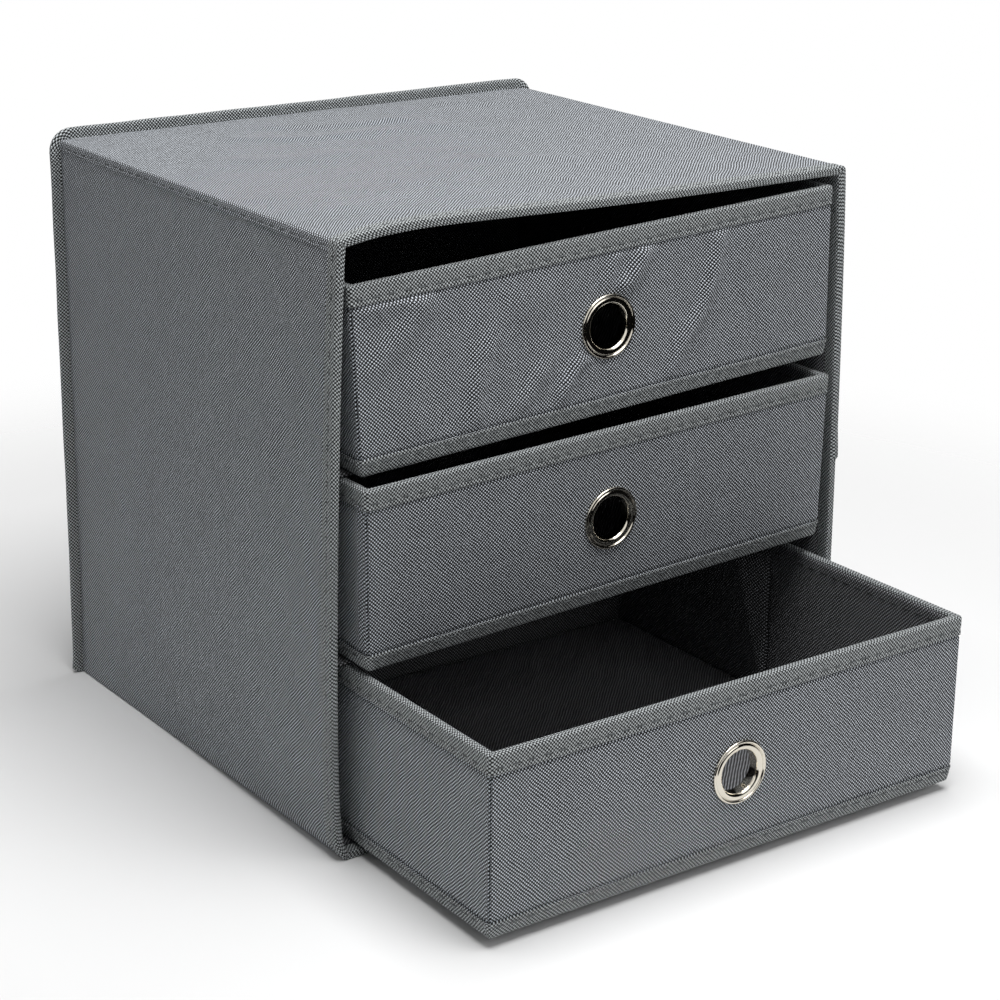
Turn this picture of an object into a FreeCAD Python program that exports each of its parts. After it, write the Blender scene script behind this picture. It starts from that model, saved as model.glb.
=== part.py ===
"""Collapsible fabric chest with three pull-out drawers, all sizes in millimetres.

Frame: +Z up, +X to the right of someone facing the drawers, -Y towards that person.
The origin is the middle of the cabinet's footprint on the floor.
Every piece is written to parts/NODE.step in its rest position.
"""
import FreeCAD, Part
import math
import os

Vector = FreeCAD.Vector

# ---- Cabinet: outside sizes over the fabric --------------------------------------------
cabinet_width = 310.0
cabinet_depth = 285.0
cabinet_height = 310.0

# ---- Build-up of a cabinet wall, from the outside in -----------------------------------
cover_thickness = 0.8       # outer fabric
board_thickness = 2.5       # grey board that stiffens the panel
lining_thickness = 0.8      # inner fabric
board_fold_gap = 2.0        # bare fabric between two boards, where the side wall folds
board_play = 0.5            # room that a board has in its pocket
cover_edge_radius = 1.5     # rounding of the cover where it turns under the cabinet

# ---- Tape that binds the mouth, and the bound seam round the back ----------------------
mouth_tape_width = 8.0
welt_height = 6.0           # how far the back seam stands out from the covers
welt_thickness = 3.0
welt_corner_radius = 6.0
welt_end_radius = 2.5

# ---- Drawer: outside sizes over the fabric ---------------------------------------------
drawer_width = 296.0
drawer_depth = 278.0
drawer_height = 93.0
drawer_cover_thickness = 0.9
drawer_board_thickness = 2.5
drawer_lining_thickness = 0.8
drawer_fold_gap = 1.5       # bare fabric at the upright fold half way along each side
rim_tape_height = 10.0
base_tape_height = 9.0
tape_thickness = 0.8

# ---- Loose floor of a drawer: a board in a fabric sleeve -------------------------------
insert_side_play = 3.0      # room between the loose floor and the walls
insert_board_thickness = 2.5
insert_sleeve_thickness = 0.4
insert_hem = 4.0            # sewn edge of the sleeve outside the board

# ---- Metal eyelet that serves as a finger pull -----------------------------------------
eyelet_radius = 16.5
eyelet_bore_radius = 11.25
eyelet_wall = 0.5
eyelet_rise = 1.7           # how far the flange stands out from the drawer's front
eyelet_height_share = 0.49  # height of its centre, as a share of the drawer's height
washer_radius = 15.6
washer_thickness = 0.6
curl_width = 1.6            # how far the barrel's end is rolled out over the washer
curl_thickness = 0.7

# ---- Shelves and where the drawers stand -----------------------------------------------
shelf_thickness = 1.6
shelf_setback = 10.5        # from the cabinet's mouth to the shelf's front edge
sliding_gap = 0.3           # under a drawer
head_gap = 0.6              # between a drawer's rim and the shelf above it

# Name, distance that the front stands out of the mouth, and how far the shelf under the
# drawer hangs out of level, with its right end high.
drawers = [
    ("bottom", 111.0, 0.0),
    ("middle", 10.0, 1.4),
    ("top", 0.6, 2.6),
]

# ---- Values worked out from the sizes above --------------------------------------------
wall_thickness = cover_thickness + board_thickness + lining_thickness
board_face = cover_thickness + board_thickness
half_width = cabinet_width / 2
mouth_y = -cabinet_depth / 2
back_y = cabinet_depth / 2
tape_end_y = mouth_y + mouth_tape_width
inner_half_width = half_width - wall_thickness
lining_back_y = back_y - cover_thickness
inner_back_y = lining_back_y - lining_thickness

drawer_wall = drawer_cover_thickness + drawer_board_thickness + drawer_lining_thickness
drawer_board_face = drawer_cover_thickness + drawer_board_thickness
eyelet_centre = Vector(drawer_width / 2, 0, drawer_height * eyelet_height_share)
barrel_radius = eyelet_bore_radius + eyelet_wall


def block(x_span, y_span, z_span):
    """A box between two values on each axis."""
    size = [span[1] - span[0] for span in (x_span, y_span, z_span)]
    return Part.makeBox(*size, Vector(x_span[0], y_span[0], z_span[0]))


def cabinet_block(inset, y_span):
    """A box that stands in by one distance from the cabinet's four long faces."""
    side = half_width - inset
    return block((-side, side), y_span, (inset, cabinet_height - inset))


def cabinet_ring(outer_inset, inner_inset, y_span):
    """A four-walled tube between two distances in from the cabinet's long faces."""
    return cabinet_block(outer_inset, y_span).cut(cabinet_block(inner_inset, y_span))


def drawer_block(inset, z_span):
    """A box that stands in by one distance from the drawer's four upright faces."""
    return block((inset, drawer_width - inset), (inset, drawer_depth - inset), z_span)


def drawer_ring(outer_inset, inner_inset, z_span):
    """A four-walled band between two distances in from the drawer's upright faces."""
    return drawer_block(outer_inset, z_span).cut(drawer_block(inner_inset, z_span))


def turned(points):
    """A solid turned about the eyelet's axis. Each point is (radius, distance in front of
    the drawer's face); a group of three in a list is an arc through those points."""
    edges = []
    last = None
    for step in points:
        stops = step if isinstance(step, list) else [step]
        stops = [Vector(radius, -front, 0) for radius, front in stops]
        if len(stops) == 1:
            if last is not None:
                edges.append(Part.LineSegment(last, stops[0]).toShape())
            last = stops[0]
        else:
            edges.append(Part.Arc(last, *stops).toShape())
            last = stops[-1]
    face = Part.Face(Part.Wire(edges))
    solid = face.revolve(Vector(0, 0, 0), Vector(0, 1, 0), 360)
    return solid.translated(eyelet_centre)


def long_edges(shape, x, z):
    """The edges of a shape that run along Y at one place in X and Z."""
    found = []
    for edge in shape.Edges:
        box = edge.BoundBox
        here = abs(box.XMin - x) < 0.01 and abs(box.XMax - x) < 0.01
        level = abs(box.ZMin - z) < 0.01 and abs(box.ZMax - z) < 0.01
        if here and level:
            found.append(edge)
    return found


# ---- Cabinet pieces --------------------------------------------------------------------
def make_wrap_cover():
    """One strip of fabric: up the left side, under the base and up the right side."""
    y_span = (tape_end_y, back_y)
    top_z = cabinet_height - cover_thickness
    strip = block((-half_width, half_width), y_span, (0, top_z))
    for side in (-half_width, half_width):
        strip = strip.makeFillet(cover_edge_radius, long_edges(strip, side, 0))
    side = half_width - cover_thickness
    return strip.cut(block((-side, side), y_span, (cover_thickness, cabinet_height)))


def make_top_cover():
    """The fabric of the top, sewn to the wrap along both long edges."""
    z_span = (cabinet_height - cover_thickness, cabinet_height)
    return block((-half_width, half_width), (tape_end_y, back_y), z_span)


def make_back_cover():
    """The back wall, of fabric only, so that the cabinet can fold flat."""
    side = half_width - cover_thickness
    z_span = (cover_thickness, cabinet_height - cover_thickness)
    return block((-side, side), (lining_back_y, back_y), z_span)


def make_cabinet_lining():
    """The inner fabric: four walls and a back."""
    sleeve = cabinet_block(board_face, (tape_end_y, lining_back_y))
    return sleeve.cut(cabinet_block(wall_thickness, (tape_end_y, inner_back_y)))


def make_mouth_tape():
    """Binding tape folded over the front edge of all four walls."""
    y_span = (mouth_y, tape_end_y)
    tape = cabinet_ring(0, wall_thickness, y_span)
    return tape.cut(cabinet_ring(cover_thickness, board_face, (mouth_y + tape_thickness, tape_end_y)))


def make_back_welt():
    """The bound seam that stands out round the left, top and right of the back."""
    side = half_width + welt_height
    top_z = cabinet_height + welt_height
    y_span = (back_y - welt_thickness, back_y)
    welt = block((-side, side), y_span, (0, top_z))
    for x in (-side, side):
        welt = welt.makeFillet(welt_corner_radius, long_edges(welt, x, top_z))
        welt = welt.makeFillet(welt_end_radius, long_edges(welt, x, 0))
    return welt.cut(block((-half_width, half_width), y_span, (0, cabinet_height)))


def make_level_board(low_z):
    """The board of the top or the base, between the boards of the side walls."""
    side = half_width - board_face - board_play
    y_span = (mouth_y + tape_thickness, lining_back_y - board_play)
    return block((-side, side), y_span, (low_z, low_z + board_thickness))


def make_side_board(direction, upper):
    """Half of a side wall's board: the wall folds between its upper and lower board."""
    edges = (half_width - board_face, half_width - cover_thickness)
    x_span = tuple(sorted(direction * x for x in edges))
    y_span = (mouth_y + tape_thickness, lining_back_y - board_play)
    fold = cabinet_height / 2
    if upper:
        z_span = (fold + board_fold_gap / 2, cabinet_height - cover_thickness)
    else:
        z_span = (cover_thickness, fold - board_fold_gap / 2)
    return block(x_span, y_span, z_span)


# ---- Drawer pieces, from the drawer's own lower left front corner ----------------------
def make_hole(radius):
    """The round hole through a drawer's front wall."""
    start = eyelet_centre - Vector(0, 1, 0)
    return Part.makeCylinder(radius, drawer_wall + 2, start, Vector(0, 1, 0))


def make_drawer_cover():
    """The outer fabric round all four walls."""
    z_span = (base_tape_height, drawer_height - rim_tape_height)
    return drawer_ring(0, drawer_cover_thickness, z_span).cut(make_hole(barrel_radius))


def make_drawer_lining():
    """The inner fabric round all four walls."""
    z_span = (tape_thickness, drawer_height - rim_tape_height)
    return drawer_ring(drawer_board_face, drawer_wall, z_span).cut(make_hole(barrel_radius))


def make_rim_tape():
    """Binding tape folded over the rim."""
    low_z = drawer_height - rim_tape_height
    tape = drawer_ring(0, drawer_wall, (low_z, drawer_height))
    pocket = (low_z, drawer_height - tape_thickness)
    return tape.cut(drawer_ring(drawer_cover_thickness, drawer_board_face, pocket))


def make_base_tape():
    """Binding tape round the foot of the walls, turned in under the floor."""
    wall = drawer_ring(0, drawer_cover_thickness, (0, base_tape_height))
    lip = drawer_ring(drawer_cover_thickness, base_tape_height, (0, tape_thickness))
    return wall.fuse(lip).removeSplitter()


def make_drawer_floor():
    """The fabric floor inside the turned-in tape."""
    return drawer_block(base_tape_height, (0, tape_thickness))


def make_front_board():
    """The front wall's board, with the hole for the eyelet's barrel."""
    x_span = (drawer_cover_thickness, drawer_width - drawer_cover_thickness)
    y_span = (drawer_cover_thickness, drawer_board_face)
    board = block(x_span, y_span, (tape_thickness, drawer_height - tape_thickness))
    return board.cut(make_hole(barrel_radius))


def make_back_board():
    """The back wall's board."""
    x_span = (drawer_cover_thickness, drawer_width - drawer_cover_thickness)
    y_span = (drawer_depth - drawer_board_face, drawer_depth - drawer_cover_thickness)
    return block(x_span, y_span, (tape_thickness, drawer_height - tape_thickness))


def make_drawer_side_board(left, front):
    """Half of a side wall's board, in front of or behind the upright fold."""
    x_span = (drawer_cover_thickness, drawer_board_face)
    if not left:
        x_span = (drawer_width - drawer_board_face, drawer_width - drawer_cover_thickness)
    fold = drawer_depth / 2
    if front:
        y_span = (drawer_board_face + board_play, fold - drawer_fold_gap / 2)
    else:
        y_span = (fold + drawer_fold_gap / 2, drawer_depth - drawer_board_face - board_play)
    return block(x_span, y_span, (tape_thickness, drawer_height - tape_thickness))


def make_insert_board():
    """The board of the loose floor."""
    low_z = tape_thickness + insert_sleeve_thickness
    inset = drawer_wall + insert_side_play + insert_hem
    return drawer_block(inset, (low_z, low_z + insert_board_thickness))


def make_insert_sleeve():
    """The fabric sleeve of the loose floor, open at the back where the board goes in."""
    height = insert_board_thickness + 2 * insert_sleeve_thickness
    sleeve = drawer_block(drawer_wall + insert_side_play, (tape_thickness, tape_thickness + height))
    inset = drawer_wall + insert_side_play + insert_hem
    low_z = tape_thickness + insert_sleeve_thickness
    pocket = block(
        (inset, drawer_width - inset),
        (inset, drawer_depth),
        (low_z, low_z + insert_board_thickness),
    )
    return sleeve.cut(pocket)


def make_eyelet():
    """Flange and barrel in one pressing, the barrel's end rolled out over the washer."""
    washer_back = -drawer_wall - washer_thickness
    end = washer_back - curl_thickness
    bead_top = eyelet_radius - eyelet_rise
    return turned([
        (barrel_radius, 0),
        (eyelet_radius, 0),
        [(eyelet_radius - 0.5, eyelet_rise * 0.72), (bead_top, eyelet_rise)],
        (barrel_radius + 0.7, eyelet_rise * 0.7),
        [(eyelet_bore_radius + 0.3, eyelet_rise * 0.45), (eyelet_bore_radius, 0)],
        (eyelet_bore_radius, end),
        (barrel_radius + curl_width, end),
        (barrel_radius + curl_width, washer_back),
        (barrel_radius, washer_back),
        (barrel_radius, 0),
    ])


def make_washer():
    """The flat ring inside the drawer that the barrel is rolled over."""
    front = -drawer_wall
    back = front - washer_thickness
    return turned([
        (barrel_radius, front),
        (washer_radius, front),
        (washer_radius, back),
        (barrel_radius, back),
        (barrel_radius, front),
    ])


def drawer_pieces():
    """Every piece of one drawer, by name."""
    return {
        "front_board": make_front_board(),
        "back_board": make_back_board(),
        "left_front_board": make_drawer_side_board(True, True),
        "left_rear_board": make_drawer_side_board(True, False),
        "right_front_board": make_drawer_side_board(False, True),
        "right_rear_board": make_drawer_side_board(False, False),
        "cover": make_drawer_cover(),
        "lining": make_drawer_lining(),
        "rim_tape": make_rim_tape(),
        "base_tape": make_base_tape(),
        "floor": make_drawer_floor(),
        "insert_board": make_insert_board(),
        "insert_sleeve": make_insert_sleeve(),
        "eyelet": make_eyelet(),
        "eyelet_washer": make_washer(),
    }


def make_shelf(corner, roll):
    """The stiff shelf under a drawer: it runs from wall to wall and hangs out of level."""
    y_span = (mouth_y + shelf_setback, inner_back_y)
    top_z = corner.z - sliding_gap
    overlong = block((-cabinet_width, cabinet_width), y_span, (top_z - shelf_thickness, top_z))
    overlong.rotate(corner, Vector(0, 1, 0), -roll)
    room = block((-inner_half_width, inner_half_width), y_span, (0, cabinet_height))
    return overlong.common(room)


def place_drawers(nodes):
    """Stacks the drawers from the base up, with a shelf under all but the lowest."""
    bottom_z = wall_thickness + sliding_gap
    for name, pulled_out, roll in drawers:
        rise = math.sin(math.radians(roll))
        run = math.cos(math.radians(roll))
        left_x = (drawer_height * rise - drawer_width * run) / 2
        corner = Vector(left_x, mouth_y - pulled_out, bottom_z)
        if name != "bottom":
            nodes[name + "_shelf"] = make_shelf(corner, roll)
        for piece, shape in drawer_pieces().items():
            shape.translate(corner)
            shape.rotate(corner, Vector(0, 1, 0), -roll)
            nodes[name + "_drawer_" + piece] = shape
        print(name, "drawer: lower left front corner", corner)
        bottom_z += drawer_height + head_gap + shelf_thickness + sliding_gap


def build():
    """All pieces of the chest, by node name."""
    top_board_z = cabinet_height - board_face
    nodes = {
        "wrap_cover": make_wrap_cover(),
        "top_cover": make_top_cover(),
        "back_cover": make_back_cover(),
        "cabinet_lining": make_cabinet_lining(),
        "mouth_tape": make_mouth_tape(),
        "back_welt": make_back_welt(),
        "top_board": make_level_board(top_board_z),
        "base_board": make_level_board(cover_thickness),
        "left_upper_board": make_side_board(-1, True),
        "left_lower_board": make_side_board(-1, False),
        "right_upper_board": make_side_board(1, True),
        "right_lower_board": make_side_board(1, False),
    }
    place_drawers(nodes)
    return nodes


def export(nodes):
    """Writes one STEP file per node and prints its solids and volume."""
    os.makedirs("parts", exist_ok=True)
    for name, shape in nodes.items():
        shape.exportStep("parts/" + name + ".step")
        print(name, len(shape.Solids), "solid,", round(shape.Volume), "mm3", shape.isValid())


export(build())
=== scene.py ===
"""Looks of a collapsible fabric chest: three fabric drawers in a cube of cloth over board.

Lengths are metres, +Z is up and the drawers pull out along -Y. MM turns millimetres into
metres. Every cloth, tape and board follows the place of its construction part.
"""
import math
import random

import bmesh
import bpy
import numpy as np
from bpy.props import FloatProperty, FloatVectorProperty, PointerProperty
from mathutils import Matrix, Vector, noise


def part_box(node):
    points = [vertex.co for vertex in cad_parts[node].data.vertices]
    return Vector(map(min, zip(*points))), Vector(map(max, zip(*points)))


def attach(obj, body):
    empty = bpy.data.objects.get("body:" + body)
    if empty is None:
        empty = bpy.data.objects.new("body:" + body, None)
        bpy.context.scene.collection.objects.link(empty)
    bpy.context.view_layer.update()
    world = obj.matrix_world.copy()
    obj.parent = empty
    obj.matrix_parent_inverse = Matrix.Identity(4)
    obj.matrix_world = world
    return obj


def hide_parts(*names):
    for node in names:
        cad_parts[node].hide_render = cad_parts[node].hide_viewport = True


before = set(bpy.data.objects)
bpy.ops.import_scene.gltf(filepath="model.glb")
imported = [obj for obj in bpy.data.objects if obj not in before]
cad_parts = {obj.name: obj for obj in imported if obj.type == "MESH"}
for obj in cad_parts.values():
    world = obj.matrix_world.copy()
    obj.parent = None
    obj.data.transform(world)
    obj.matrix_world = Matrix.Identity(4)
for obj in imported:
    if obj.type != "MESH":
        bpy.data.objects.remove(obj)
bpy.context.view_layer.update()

bl_info = {
    "name": "Fabric drawer chest",
    "version": (1, 0, 0),
    "blender": (4, 5, 0),
    "location": "3D View > Sidebar > Chest",
    "description": "Cloth, tapes, boards, eyelets and studio of a collapsible fabric chest",
    "category": "Object",
}

MM = 0.001

# ---- Cabinet, read from the frame ------------------------------------------------------
COVER_LOW, COVER_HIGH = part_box("wrap_cover")
HALF_WIDTH = COVER_HIGH.x
BACK_Y = COVER_HIGH.y
TAPE_END_Y = COVER_LOW.y
MOUTH_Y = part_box("mouth_tape")[0].y
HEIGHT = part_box("top_cover")[1].z
LINING_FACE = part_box("cabinet_lining")[1].x     # outer face of the lining
LINING = 0.8 * MM
CLOTH = 0.8 * MM
WALL = HALF_WIDTH - LINING_FACE + LINING

# ---- Drawers, read from the frame ------------------------------------------------------
DRAWER_LOW, DRAWER_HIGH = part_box("bottom_drawer_rim_tape")
DRAWER_W = DRAWER_HIGH.x - DRAWER_LOW.x
DRAWER_D = DRAWER_HIGH.y - DRAWER_LOW.y
DRAWER_H = DRAWER_HIGH.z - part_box("bottom_drawer_base_tape")[0].z
RIM_TAPE = DRAWER_HIGH.z - DRAWER_LOW.z
BASE_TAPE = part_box("bottom_drawer_base_tape")[1].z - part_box("bottom_drawer_base_tape")[0].z
DRAWER_COVER = 0.9 * MM
DRAWER_WALL = 4.2 * MM
EYELET_LOW, EYELET_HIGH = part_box("bottom_drawer_eyelet")
EYELET_R = (EYELET_HIGH.x - EYELET_LOW.x) / 2
EYELET_X = DRAWER_W / 2
EYELET_Z = (EYELET_LOW.z + EYELET_HIGH.z) / 2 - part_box("bottom_drawer_base_tape")[0].z
BORE_R = 11.25 * MM
BARREL_WALL = 0.5 * MM
CORNER_R = 1.8 * MM
DRAWERS = ("bottom", "middle", "top")

TAPE = 0.7 * MM                # thickness of the binding tape
COVER_HOLE = 12.6 * MM         # radius of the hole in a front's cloth, under the flange
LINING_HOLE = 13 * MM          # the same in the lining, under the washer
INSERT_GAP = 3 * MM            # play all round the loose floor
RIM_SEAM = 3.0 * MM            # from the rim tape's lower edge up to its seam
LIP_SEAM = 0.68                # the top's seam, as a share of the lip down from the edge


def linear(code):
    """Turns an sRGB hex colour into linear red, green and blue."""
    levels = [int(code[i:i + 2], 16) / 255 for i in (1, 3, 5)]
    return tuple(v / 12.92 if v <= 0.04045 else ((v + 0.055) / 1.055) ** 2.4 for v in levels)


# ---- What a user may change ------------------------------------------------------------
def length(label, words, millimetres):
    """A length property whose default is given in millimetres."""
    return FloatProperty(name=label, description=words, default=millimetres * MM,
                         unit="LENGTH", precision=5)


def colour(label, words, code):
    """A colour property whose default is given as an sRGB hex code."""
    return FloatVectorProperty(name=label, description=words, default=linear(code),
                               subtype="COLOR", size=3, min=0.0, max=1.0)


class ChestSizes(bpy.types.PropertyGroup):
    """Sizes of the cloth's form, weave and stitches."""
    left_bow: length("Left wall bow", "How far the left wall stands out at the mouth", 7.0)
    right_bow: length("Right wall bow", "How far the right wall stands out at the mouth", 6.0)
    top_rise: length("Top rise", "How far the top rises behind its left corner", 4.5)
    fold_in: length("Drawer fold", "How far a drawer's side leans in at its fold", 1.3)
    skew: length("Middle drawer skew", "How much further in its right end is pushed", 7.0)
    middle_lean: length("Middle drawer lean", "How far its front leans out at its right", 4.5)
    top_lean: length("Top drawer lean", "How far its front leans back at its left", 2.5)
    edge_lip: length("Edge lip", "How far the top's cloth is turned down the sides", 5.5)
    body_pitch: length("Body pitch", "Repeat of the embossing of the body cloth", 1.92)
    tape_pitch: length("Tape pitch", "Repeat of the embossing of the tape", 1.95)
    lining_pitch: length("Lining pitch", "Repeat of the embossing of the lining", 2.06)
    stitch_pitch: length("Stitch pitch", "From one stitch to the next", 8.9)
    stitch_length: length("Stitch length", "Thread that shows in one stitch", 6.0)
    thread_radius: length("Thread radius", "Radius of the sewing thread", 0.3)


class ChestColours(bpy.types.PropertyGroup):
    """Colours of the chest's cloths, board and metal."""
    # The webs are drawn lighter and the pits darker than the cloths' own tones. This is partly
    # the cloths' own pattern and partly painted highlight on the raised web and painted shade
    # in the pressed pits. The lining is also drawn lighter than its own near-black, as painted
    # light for the drawers' shaded insides.
    body: colour("Body cloth", "Raised web of the grey body cloth", "#ebf2fb")
    body_pit_painted_shade: colour("Body pits", "Bond points of the grey body cloth", "#0c0d0f")
    tape: colour("Tape", "Raised web of the binding tape", "#cbd1d3")
    tape_pit_painted_shade: colour("Tape pits", "Bond points of the binding tape", "#101111")
    lining: colour("Lining", "Raised web of the near-black lining", "#b2b4b9")
    lining_pit_painted_shade: colour("Lining pits", "Bond points of the near-black lining", "#121213")
    thread: colour("Thread", "Sewing thread", "#54585a")
    black_thread: colour("Black thread", "Sewing thread of the linings", "#1a1b1d")
    board: colour("Board", "Grey board", "#8a8378")
    nickel: colour("Nickel", "Nickel plate of the eyelets", "#d9d3c6")
    floor: colour("Floor", "Studio floor", "#eeeeee")


# ---- Small helpers on numbers ----------------------------------------------------------
def smooth(low, high, value):
    """0 below low, 1 above high, with a soft step between."""
    share = np.clip((value - low) / (high - low), 0, 1)
    return share * share * (3 - 2 * share)


def bump_of(value, centre, reach):
    """1 at the centre, falling softly to 0 at a reach on either side."""
    return 1 - smooth(0, reach, np.abs(value - centre))


def ripple(points, scale, seed):
    """Soft noise from -1 to 1 at each point, with features as large as scale."""
    shift = Vector((seed * 17.3, seed * 5.1, seed * 9.7))
    return np.array([noise.noise(Vector(p) / scale + shift) for p in points])


# ---- Form that boards and cloth have taken ---------------------------------------------
def bend_cabinet(points):
    """The side walls bow out at the mouth and in at the back, where only cloth holds them,
    and the top rises behind its left corner."""
    sizes = bpy.context.scene.chest_sizes
    x, y, z = points[:, 0], points[:, 1], points[:, 2]
    up = np.clip(z / HEIGHT, 0, 1)
    to_mouth = 1 - smooth(MOUTH_Y, BACK_Y, y)
    belly = 0.65                # a low power makes the bow full near the floor and the top
    drawn_in = 0.14             # share of the bow by which the walls are drawn in at the back
    bow = np.abs(np.sin(math.pi * np.sqrt(up))) ** belly * smooth(-2 * MM, 10 * MM, z)
    bow *= (1 + drawn_in) * to_mouth - drawn_in
    reach = np.where(x < 0, sizes.left_bow, sizes.right_bow)
    near_wall = smooth(0.75, 0.95, np.abs(x) / HALF_WIDTH)
    across = np.clip((x + HALF_WIDTH) / (2 * HALF_WIDTH), 0, 1)
    peak = 0.16                 # where the top's rise is highest, as a share of the width
    rise = across / peak * np.exp(1 - across / peak) * sizes.top_rise
    near_top = smooth(0.86, 0.97, z / HEIGHT)
    moved = points.copy()
    moved[:, 0] += np.sign(x) * near_wall * reach * bow
    moved[:, 2] += near_top * rise * to_mouth ** 2
    return moved


def bend_drawer(points):
    """Each side wall leans in a little towards its upright fold, half way along."""
    sizes = bpy.context.scene.chest_sizes
    x, y = points[:, 0], points[:, 1]
    to_fold = 1 - np.clip(np.abs(y - DRAWER_D / 2) / (DRAWER_D / 2), 0, 1)
    near_wall = smooth(0.8, 0.95, np.abs(x - DRAWER_W / 2) / (DRAWER_W / 2))
    inside = np.clip(y / (8 * MM), 0, 1) * np.clip((DRAWER_D - y) / (8 * MM), 0, 1)
    moved = points.copy()
    moved[:, 0] -= np.sign(x - DRAWER_W / 2) * near_wall * to_fold * inside * sizes.fold_in
    return moved


def turn_front(points, name):
    """The fronts don't stand quite true: the middle one leans out and was pushed in further
    at its right end, and the top one is twisted, back at its left and out at its right."""
    sizes = bpy.context.scene.chest_sizes
    across, up = points[:, 0] / DRAWER_W, points[:, 2] / DRAWER_H
    lean = {"bottom": 0.0, "middle": sizes.middle_lean * (0.55 + 0.45 * across),
            "top": sizes.top_lean * (2 * across * np.abs(across) - 1)}[name]
    skew = sizes.skew if name == "middle" else 0.0
    near_front = 1 - np.clip(points[:, 1] / DRAWER_D, 0, 1)
    moved = points.copy()
    moved[:, 1] += near_front * (skew * across - lean * (up - 0.5))
    return moved


def trim_board(points):
    """A drawer's boards stop short of the foot, of the corners and of the folds half way
    along the sides, where the cloth is drawn in."""
    foot, corner, gap = 3.4 * MM, 2.7 * MM, 1.8 * MM
    moved = points.copy()
    moved[:, 2] = np.maximum(points[:, 2], foot)
    moved[:, 0] = np.clip(points[:, 0], corner, DRAWER_W - corner)
    y = points[:, 1]
    fold = DRAWER_D / 2
    kept = np.where(y < fold, np.minimum(y, fold - gap), np.maximum(y, fold + gap))
    moved[:, 1] = np.where(np.abs(y - fold) < 9 * MM, kept, y)
    return moved


def drawer_place(name):
    """How one drawer's own frame, from its lower left front corner, lies in the chest.
    The drawers' shelves hang a little out of level, with their right end high."""
    low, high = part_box(name + "_drawer_base_tape")
    tilt = math.asin((high.z - low.z - BASE_TAPE) / DRAWER_W)
    corner = Vector((low.x + BASE_TAPE * math.sin(tilt), low.y, low.z))
    return Matrix.Translation(corner) @ Matrix.Rotation(-tilt, 4, "Y")


# Creases of a drawer's front cloth, each as points across and up from the drawer's lower
# left corner, with the ridge's half width and height, all in millimetres.
FRONT_CREASES = {
    "bottom": [
        ([(192, 84), (194, 10)], 26, 0.9),
        ([(60, 80), (52, 40), (58, 12)], 22, 0.4),
    ],
    "middle": [
        ([(198, 80), (199, 12)], 4, 0.55),
        ([(96, 78), (88, 45), (92, 14)], 14, 0.6),
        ([(40, 82), (30, 50), (38, 14)], 16, 0.6),
        ([(262, 78), (256, 15)], 18, 0.5),
    ],
    "top": [
        ([(173, 88), (171, 78), (164, 68), (152, 61)], 4.6, 3.64),
        ([(157, 87), (152, 76), (147, 66)], 3.2, 1.68),
        ([(140, 34), (129, 30), (122, 22), (117, 11)], 3.6, 2.8),
        ([(150, 30), (149, 14)], 4.0, 0.98),
        ([(112, 36), (102, 25), (90, 13)], 5.0, 1.96),
        ([(81, 58), (73, 44), (68, 28), (66, 11)], 5.4, 2.24),
        ([(221, 88), (219, 72), (215, 57), (208, 43), (198, 31), (188, 14)], 4.6, 2.8),
        ([(243, 84), (238, 66), (236, 50)], 8.0, 0.98),
        ([(262, 72), (252, 40), (258, 16)], 12.0, 0.98),
        ([(38, 84), (39, 76), (29, 66), (10, 50)], 6.5, 2.24),
        ([(2, 83), (24, 83), (40, 81)], 6.0, 2.1),
        ([(40, 52), (30, 30), (34, 12)], 9.0, 1.26),
        ([(118, 72), (100, 66), (84, 70)], 9.0, 1.12),
    ],
}


def distance_to_line(x, z, line):
    """Distance of every point from a broken line, and the share of the line run by then."""
    best = np.full(len(x), 1e9)
    share = np.zeros(len(x))
    steps = len(line) - 1
    for i in range(steps):
        (x0, z0), (x1, z1) = line[i], line[i + 1]
        dx, dz = x1 - x0, z1 - z0
        t = np.clip(((x - x0) * dx + (z - z0) * dz) / (dx * dx + dz * dz), 0, 1)
        gap = np.hypot(x - x0 - t * dx, z - z0 - t * dz)
        closer = gap < best
        best = np.where(closer, gap, best)
        share = np.where(closer, (i + t) / steps, share)
    return best, share


def crease_front(points, name):
    """Lifts the front's cloth off its board along the creases, but not at its seams or
    under the eyelet."""
    x, z = points[:, 0] / MM, points[:, 2] / MM
    lift = np.zeros(len(x))
    for line, width, height in FRONT_CREASES[name]:
        gap, share = distance_to_line(x, z, line)
        ends = smooth(-0.25, 0.3, share) * (1 - smooth(0.7, 1.25, share))
        lift += height * ends * np.exp(-(gap / width) ** 2)
    width, height = DRAWER_W / MM, DRAWER_H / MM
    low, high = BASE_TAPE / MM, height - RIM_TAPE / MM
    held = smooth(low - 1, low + 6, z) * (1 - smooth(high - 4, high + 1, z))
    held *= smooth(0, 7, x) * (1 - smooth(width - 7, width, x))
    radius = np.hypot(x - EYELET_X / MM, z - EYELET_Z / MM)
    held *= smooth(EYELET_R / MM - 0.5, EYELET_R / MM + 5, radius)
    pitch = bpy.context.scene.chest_sizes.stitch_pitch / MM
    near_seam = np.exp(-(high - z) / 4) * (z < high) + np.exp(-(z - low) / 4) * (z > low)
    pucker = 0.14 * near_seam * (1 + np.cos(2 * math.pi * x / pitch))
    on_front = 1 - smooth(0, 2.5 * MM, points[:, 1])
    moved = points.copy()
    moved[:, 1] -= (lift * held + pucker) * MM * on_front
    return moved


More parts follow.
